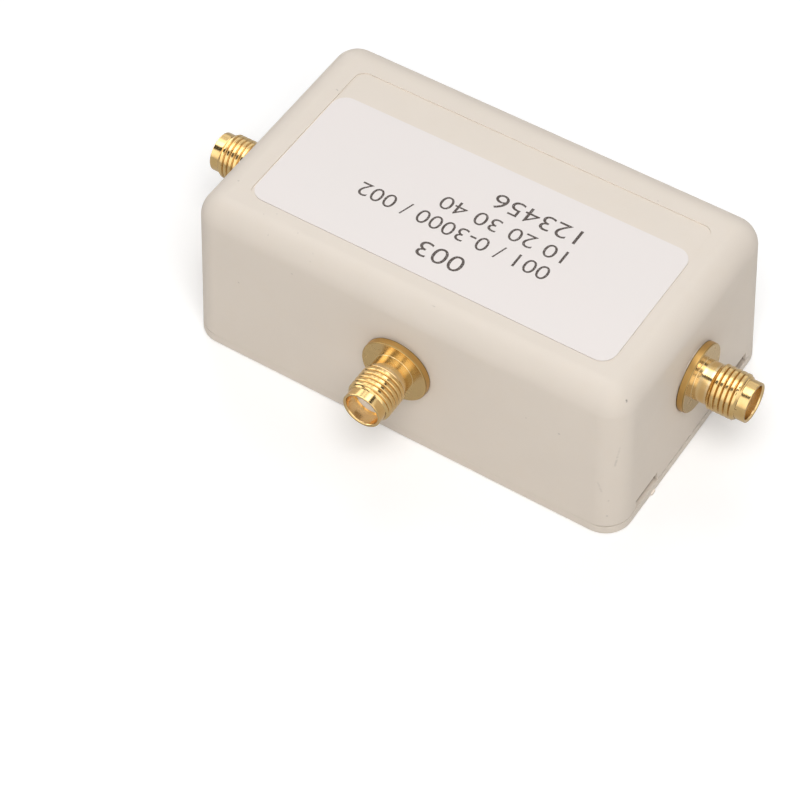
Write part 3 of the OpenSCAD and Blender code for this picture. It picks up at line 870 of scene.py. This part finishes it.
def thread_coil(looks):
    """The thread as one closed right-handed rib. Both of its ends run out under the shell."""
    bm = bmesh.new()
    # The rib's foot is sunk into the core, and its turns all but touch
    sunk = looks.neck_radius - 0.05 * MM
    half_crest = looks.crest / 2
    half_flat = half_crest - CREST_EDGE - 0.02 * MM
    half_base = looks.pitch / 2 - 0.002 * MM
    root = looks.thread_radius - (half_base - half_crest) / tan(FLANK)
    start = looks.thread_start - looks.pitch / 2
    section = (
        (sunk, start - half_base),
        (root, start - half_base),
        (looks.thread_radius, start - half_crest),
        (looks.thread_radius, start - half_flat),
        (looks.thread_radius, start + half_flat),
        (looks.thread_radius, start + half_crest),
        (root, start + half_base),
        (sunk, start + half_base),
    )
    turns = (looks.thread_end - looks.thread_start) / looks.pitch + 1
    steps = round(looks.steps * turns)
    bmesh.ops.spin(
        bm,
        geom=profile_loop(bm, section),
        cent=(0, 0, 0),
        axis=UP,
        dvec=(0, 0, looks.pitch / looks.steps),
        angle=2 * pi * steps / looks.steps,
        steps=steps,
    )
    crests = [
        edge
        for edge in bm.edges
        if edge.is_manifold
        and edge.calc_face_angle() > TURNED_SHARP
        and all(
            hypot(vert.co.x, vert.co.y) > looks.thread_radius - TOUCHING for vert in edge.verts
        )
    ]
    bmesh.ops.bevel(
        bm,
        geom=crests,
        offset=CREST_EDGE,
        segments=2,
        profile=0.5,
        affect="EDGES",
        material=-1,
    )
    bmesh.ops.holes_fill(bm, edges=[edge for edge in bm.edges if edge.is_boundary], sides=0)
    # Towards both ends the rib sinks at 45 degrees, until it is under the core
    deepest, above_rim = sunk - 0.1 * MM, looks.rim_radius + 0.08 * MM
    for vert in bm.verts:
        from_ends = min(vert.co.z - looks.thread_start, looks.thread_end - vert.co.z)
        limit = max(deepest, above_rim + from_ends)
        radius = hypot(vert.co.x, vert.co.y)
        if radius > limit:
            vert.co.x *= limit / radius
            vert.co.y *= limit / radius
    bmesh.ops.recalc_face_normals(bm, faces=bm.faces)
    return bm


def mark_turned(bm):
    """Keeps each point's radius and height, for the rings and tones of the plating."""
    layer = bm.verts.layers.float_vector.new("turned")
    for vert in bm.verts:
        vert[layer] = (hypot(vert.co.x, vert.co.y), vert.co.z, 0)


def jack_place(name, looks):
    """The matrix that puts a jack, with +Z outwards and zero on its seat, on the box."""
    low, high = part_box(f"{name}_jack_body")
    out = JACKS[name]
    tip = max(low.dot(out), high.dot(out))
    middle = (low + high) / 2
    seat = middle + out * (tip - looks.reach - middle.dot(out))
    return Matrix.Translation(seat) @ UP.rotation_difference(out).to_matrix().to_4x4()


def number_row(text, start, end, baseline, height, base):
    """One row of thin raised numbers. It reads towards -X, its top towards the test jack."""
    curve = bpy.data.curves.new("row", "FONT")
    curve.body = text
    # Strokes a little thinner than the font's, and one unit thick until they are scaled
    curve.offset = -0.006
    curve.extrude = 0.5
    lettering = bpy.data.objects.new("row", curve)
    bpy.context.scene.collection.objects.link(lettering)
    bpy.context.view_layer.update()
    flat = lettering.evaluated_get(bpy.context.evaluated_depsgraph_get())
    mesh = bpy.data.meshes.new_from_object(flat)
    bpy.data.objects.remove(lettering)
    points = [vert.co for vert in mesh.vertices]
    low, high = (Vector(map(pick, zip(*points))) for pick in (min, max))
    scale = ((start - end) / (high.x - low.x), height / high.y, PRINT_THICK, 1)
    mesh.transform(
        Matrix.Translation((start, baseline, base))
        @ Matrix.Rotation(pi, 4, UP)
        @ Matrix.Diagonal(scale)
        @ Matrix.Translation((-low.x, 0, -low.z))
    )
    bm = bmesh.new()
    bm.from_mesh(mesh)
    bpy.data.meshes.remove(mesh)
    bmesh.ops.remove_doubles(bm, verts=bm.verts, dist=0.1 * TOUCHING)
    bmesh.ops.recalc_face_normals(bm, faces=bm.faces)
    return bm


# Operators


class BRIDGE_OT_housing(bpy.types.Operator):
    """Skin the moulded cover and plate with smooth faces and softened edges"""

    bl_idname = "bridge.housing"
    bl_label = "Housing"

    def execute(self, context):
        looks = context.scene.bridge_housing
        material = plastic(looks)
        for node, name in (("top_shell", "cover_skin"), ("base_plate", "plate_skin")):
            bm = bmesh.new()
            bm.from_mesh(frame["nodes"][node].data)
            bmesh.ops.remove_doubles(bm, verts=bm.verts, dist=TOUCHING)
            bmesh.ops.dissolve_limit(
                bm,
                angle_limit=FLAT,
                verts=bm.verts,
                edges=bm.edges,
                use_dissolve_boundaries=False,
            )
            smooth(bm, MOULDED_SHARP)
            weigh_edges(bm, MOULDED_SHARP)
            soften(add_piece(name, bm, material, "housing", node), looks.edge)
        return {"FINISHED"}


class BRIDGE_OT_jacks(bpy.types.Operator):
    """Turn the gold shells of the three coaxial jacks, each with its own thread"""

    bl_idname = "bridge.jacks"
    bl_label = "Jacks"

    def execute(self, context):
        looks = context.scene.bridge_jacks
        material = plating(looks)
        for name in JACKS:
            place = jack_place(name, looks)
            turned = Matrix.Rotation(radians(THREAD_TURNS[name]), 4, UP)
            for part, make in (("shell", jack_shell), ("thread", thread_coil)):
                bm = make(looks)
                mark_turned(bm)
                smooth(bm, TURNED_SHARP)
                bm.transform(place @ turned)
                add_piece(f"{name}_jack_{part}", bm, material, "gold", f"{name}_jack_body")
        return {"FINISHED"}


class BRIDGE_OT_print(bpy.types.Operator):
    """Print the rows of numbers on the label"""

    bl_idname = "bridge.print"
    bl_label = "Label print"

    # Start, end and baseline of each row, and the height of its numbers, in mm
    ROWS = {
        "row_1": (3.5, -2.95, -7.92, 2.58),
        "row_2": (13.1, -14.7, -3.58, 2.25),
        "row_3": (13.4, -4.7, -0.08, 2.2),
        "row_4": (13.2, 0.85, 3.83, 2.5),
    }

    def execute(self, context):
        looks = context.scene.bridge_label
        material = ink(looks)
        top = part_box("label")[1].z
        for name, sizes in self.ROWS.items():
            text = getattr(looks, name)
            if not text.strip():
                continue
            bm = number_row(text, *(size * MM for size in sizes), top)
            add_piece(f"label_{name}", bm, material, "label")
        return {"FINISHED"}


class BRIDGE_OT_finishes(bpy.types.Operator):
    """Give every piece that keeps its built shape its material"""

    bl_idname = "bridge.finishes"
    bl_label = "Finishes"

    def execute(self, context):
        jacks = context.scene.bridge_jacks
        gold = plain_gold(jacks)
        tinned = mottled(
            "tinned",
            (0.60, 0.59, 0.56),
            roughness=0.30,
            size=0.5 * MM,
            contrast=0.10,
            depth=0.01 * MM,
            Metallic=1.0,
        )
        steel = mottled(
            "zinc_steel",
            (0.56, 0.57, 0.58),
            roughness=0.28,
            size=0.4 * MM,
            contrast=0.08,
            depth=0.004 * MM,
            Metallic=1.0,
        )
        ferrite = mottled(
            "ferrite",
            (0.045, 0.045, 0.048),
            roughness=0.55,
            size=0.15 * MM,
            contrast=0.25,
            depth=0.01 * MM,
        )
        jacket = mottled(
            "lead_jacket",
            (0.015, 0.015, 0.016),
            roughness=0.40,
            size=0.3 * MM,
            contrast=0.15,
            depth=0.004 * MM,
        )
        # The first of these words that a node's name holds tells its material
        plain = {
            "label": film(context.scene.bridge_label),
            "insulator": bead(jacks),
            "contact": gold,
            "nut": gold,
            "washer": steel,
            "screws": steel,
            "tag": tinned,
            "joints": tinned,
            "board": board_finish(),
            "lead": jacket,
            "sleeve": ferrite,
            "resistor": chip_finish(),
        }
        for name, node in frame["nodes"].items():
            if node.hide_render:
                continue
            words = name.split("_")
            material = next((made for word, made in plain.items() if word in words), None)
            if material is None:
                raise RuntimeError(f"{name} has no finish")
            node.data.materials.clear()
            node.data.materials.append(material)
            for polygon in node.data.polygons:
                polygon.material_index = 0
        return {"FINISHED"}


class BRIDGE_OT_studio(bpy.types.Operator):
    """Set up the camera, the floor, the soft light and the cards that gold reflects"""

    bl_idname = "bridge.studio"
    bl_label = "Studio"

    # Colour that the floor throws back onto the box, as shares of its own
    THROWN_BACK = (0.88, 0.855, 0.82)

    # The floor's radius, and from where to where it pales to white, in metres
    FLOOR_RADIUS = 2.0
    FLOOR_PALES = (0.09, 0.32)

    # Side of the square lamps, and how far they stand from the box, in metres
    LAMP_SIZE = 0.35
    LAMP_DISTANCE = 0.6

    # How high the level cards hang in metres, and the strength of the dark ones
    CARD_HEIGHT = 0.56
    DARK = 0.07

    # The level cards: strength as a share of the glow, and the low and the high corner.
    # A corner's numbers go to the right in the picture and away from the camera, in metres.
    CARDS = {
        "bright_card": (1.0, (-0.35, -0.045), (0.36, 0.25)),
        "bright_step": (0.6, (-0.12, 0.25), (0.05, 0.40)),
        "soft_card_left": (0.6, (-1.00, 0.25), (-0.12, 1.00)),
        "soft_card_right": (0.28, (0.05, 0.25), (0.36, 0.40)),
        "soft_card_back": (0.28, (-0.12, 0.40), (0.36, 1.00)),
        "dark_card_left": (0.0, (-0.80, -0.045), (-0.35, 0.25)),
        "dark_card_right": (0.0, (0.36, -0.045), (0.62, 1.00)),
        "dark_card_front": (0.0, (-0.80, -0.21), (0.62, -0.045)),
        "camera_card": (0.0, (-0.06, -0.60), (0.12, -0.38)),
    }

    # The small dark card that stands on the floor: middle, size and turn
    LOW_CARD_PLACE = (-35 * MM, -57 * MM, 8 * MM)
    LOW_CARD_SIZE = (32 * MM, 16 * MM)
    LOW_CARD_TURN = radians(-45)

    def execute(self, context):
        looks = context.scene.bridge_studio
        self.world(context.scene, looks)
        self.camera(context.scene, looks)
        self.floor(looks)
        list(self.lamps(looks))
        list(self.cards(looks))
        context.scene.view_settings.view_transform = "Standard"
        return {"FINISHED"}

    def world(self, scene, looks):
        """White to the camera, and even soft light on surfaces. The sky that metal reflects
        is brighter on the left, and darker behind the box and low down."""
        world = bpy.data.worlds.new("studio_air")
        tree = Tree(world)
        camera, mirrored = tree.rays()
        way = tree.node("ShaderNodeTexCoord", out="Generated")
        left = tree.fall(tree.part(way, 0), -0.8, -0.55)
        behind = tree.ramp(tree.part(way, 1), -0.1, 0.4) * (1.0 - left)
        low = tree.fall(tree.part(way, 2), 0.0, 0.35)
        sky = (1.0 + 0.5 * left - 0.35 * behind - 0.35 * low) * looks.sky
        unseen = mirrored * sky + (1.0 - mirrored) * looks.ambient
        strength = camera + (1.0 - camera) * unseen
        inputs = {"Color": (1, 1, 1, 1), "Strength": strength}
        back = tree.node("ShaderNodeBackground", None, inputs)
        tree.node("ShaderNodeOutputWorld", None, {"Surface": back})
        scene.world = world

    def camera(self, scene, looks):
        """The camera that took the picture."""
        data = bpy.data.cameras.new("camera")
        data.sensor_width = FILM
        data.lens = looks.lens
        data.clip_start = 0.01
        data.clip_end = 10.0
        camera = bpy.data.objects.new("camera", data)
        camera.matrix_world = camera_place(looks)
        scene.collection.objects.link(camera)
        scene.camera = camera

    def floor(self, looks):
        """A pale round floor, white far away. Mirrors see it darker, and its light is warm."""
        bm = bmesh.new()
        bmesh.ops.create_circle(bm, cap_ends=True, segments=64, radius=self.FLOOR_RADIUS)
        tone = tuple(looks.floor)
        lift, least_lift = (0.12, 0.12, 0.12), (0.036, 0.036, 0.036)

        def varying(tree):
            camera, mirrored = tree.rays()
            place = tree.place()
            paper = tree.mix(tree.noise(place, 60 * MM), shade(tone, 0.99), tone)
            unseen = tree.mix(mirrored, tint(tone, self.THROWN_BACK), shade(tone, 0.60))
            away = tree.vector("LENGTH", place, out="Value")
            glow = tree.mix(tree.ramp(away, *self.FLOOR_PALES), lift, (1.0, 1.0, 1.0))
            return {
                "Base Color": tree.mix(camera, unseen, paper),
                "Emission Color": tree.mix(camera, least_lift, glow),
            }

        uniform = {"Specular_IOR_Level": 0.0, "Emission_Strength": 1.0}
        return self.add("floor", bm, finish("floor_paper", tone, 0.9, varying, **uniform))

    def add(self, name, bm, material):
        """Links a plain stage shape."""
        mesh = bpy.data.meshes.new(name)
        bm.to_mesh(mesh)
        bm.free()
        mesh.materials.append(material)
        made = bpy.data.objects.new(name, mesh)
        bpy.context.scene.collection.objects.link(made)
        return made

    def lamp(self, name, power, way):
        """A square lamp in that direction, turned to the box. Neither camera nor metal sees it."""
        data = bpy.data.lights.new(name, "AREA")
        data.energy = power
        data.shape = "RECTANGLE"
        data.size = data.size_y = self.LAMP_SIZE
        lamp = bpy.data.objects.new(name, data)
        place, aim = way * self.LAMP_DISTANCE, Vector((0, 0, 10 * MM))
        facing = (place - aim).to_track_quat("Z", "Y").to_matrix().to_4x4()
        lamp.matrix_world = Matrix.Translation(place) @ facing
        lamp.visible_camera = False
        lamp.visible_glossy = False
        bpy.context.scene.collection.objects.link(lamp)
        return lamp

    def lamps(self, looks):
        """The softbox above, a little to the front and right, and a weak lamp behind."""
        return (
            self.lamp("softbox", looks.softbox, Vector((0.30, -0.42, 0.857))),
            self.lamp("fill_lamp", looks.fill, Vector((-0.35, 0.55, 0.76))),
        )

    def card(self, name, strength, size, place):
        """A glowing card of that width and height. Only reflections see it."""
        material = bpy.data.materials.new(name)
        tree = Tree(material)
        inputs = {"Color": (1, 1, 1, 1), "Strength": strength}
        light = tree.node("ShaderNodeEmission", None, inputs)
        tree.node("ShaderNodeOutputMaterial", None, {"Surface": light})
        bm = bmesh.new()
        bmesh.ops.create_grid(bm, x_segments=1, y_segments=1, size=0.5)
        bm.transform(place @ Matrix.Diagonal((*size, 1, 1)))
        card = self.add(name, bm, material)
        card.visible_camera = False
        card.visible_diffuse = False
        card.visible_transmission = False
        card.visible_volume_scatter = False
        card.visible_shadow = False
        return card

    def cards(self, looks):
        """Level cards overhead, square to the camera, and a small one that stands on the floor."""
        cards = []
        square_to_camera = Matrix.Rotation(looks.azimuth, 4, UP)
        for name, (glow, low, high) in self.CARDS.items():
            low, high = Vector(low), Vector(high)
            middle = Matrix.Translation((*(low + high) / 2, self.CARD_HEIGHT))
            strength = max(glow * looks.glow, self.DARK)
            cards.append(self.card(name, strength, high - low, square_to_camera @ middle))
        stand = (
            Matrix.Translation(self.LOW_CARD_PLACE)
            @ Matrix.Rotation(self.LOW_CARD_TURN, 4, UP)
            @ Matrix.Rotation(radians(90), 4, "X")
        )
        cards.append(self.card("low_card", self.DARK, self.LOW_CARD_SIZE, stand))
        return cards


class BRIDGE_PT_sidebar(bpy.types.Panel):
    """The sizes, colours and steps of the bridge box"""

    bl_idname = "BRIDGE_PT_sidebar"
    bl_label = "Bridge box"
    bl_space_type = "VIEW_3D"
    bl_region_type = "UI"
    bl_category = "Bridge"

    def draw(self, context):
        steps = (
            ("bridge.housing", context.scene.bridge_housing),
            ("bridge.jacks", context.scene.bridge_jacks),
            ("bridge.print", context.scene.bridge_label),
            ("bridge.finishes", None),
            ("bridge.studio", context.scene.bridge_studio),
        )
        for operator, group in steps:
            box = self.layout.box()
            for name in group.__annotations__ if group else ():
                box.prop(group, name)
            box.operator(operator)


GROUPS = {
    "bridge_housing": HousingLooks,
    "bridge_jacks": JackLooks,
    "bridge_label": LabelLooks,
    "bridge_studio": StudioLooks,
}
CLASSES = (
    *GROUPS.values(),
    BRIDGE_OT_housing,
    BRIDGE_OT_jacks,
    BRIDGE_OT_print,
    BRIDGE_OT_finishes,
    BRIDGE_OT_studio,
    BRIDGE_PT_sidebar,
)


def register():
    for made in CLASSES:
        bpy.utils.register_class(made)
    for name, group in GROUPS.items():
        setattr(bpy.types.Scene, name, PointerProperty(type=group))


def unregister():
    for name in GROUPS:
        delattr(bpy.types.Scene, name)
    for made in reversed(CLASSES):
        bpy.utils.unregister_class(made)


def main():
    register()
    bpy.ops.bridge.housing()
    bpy.ops.bridge.jacks()
    bpy.ops.bridge.print()
    bpy.ops.bridge.finishes()
    bpy.ops.bridge.studio()


if __name__ == "__main__":
    main()
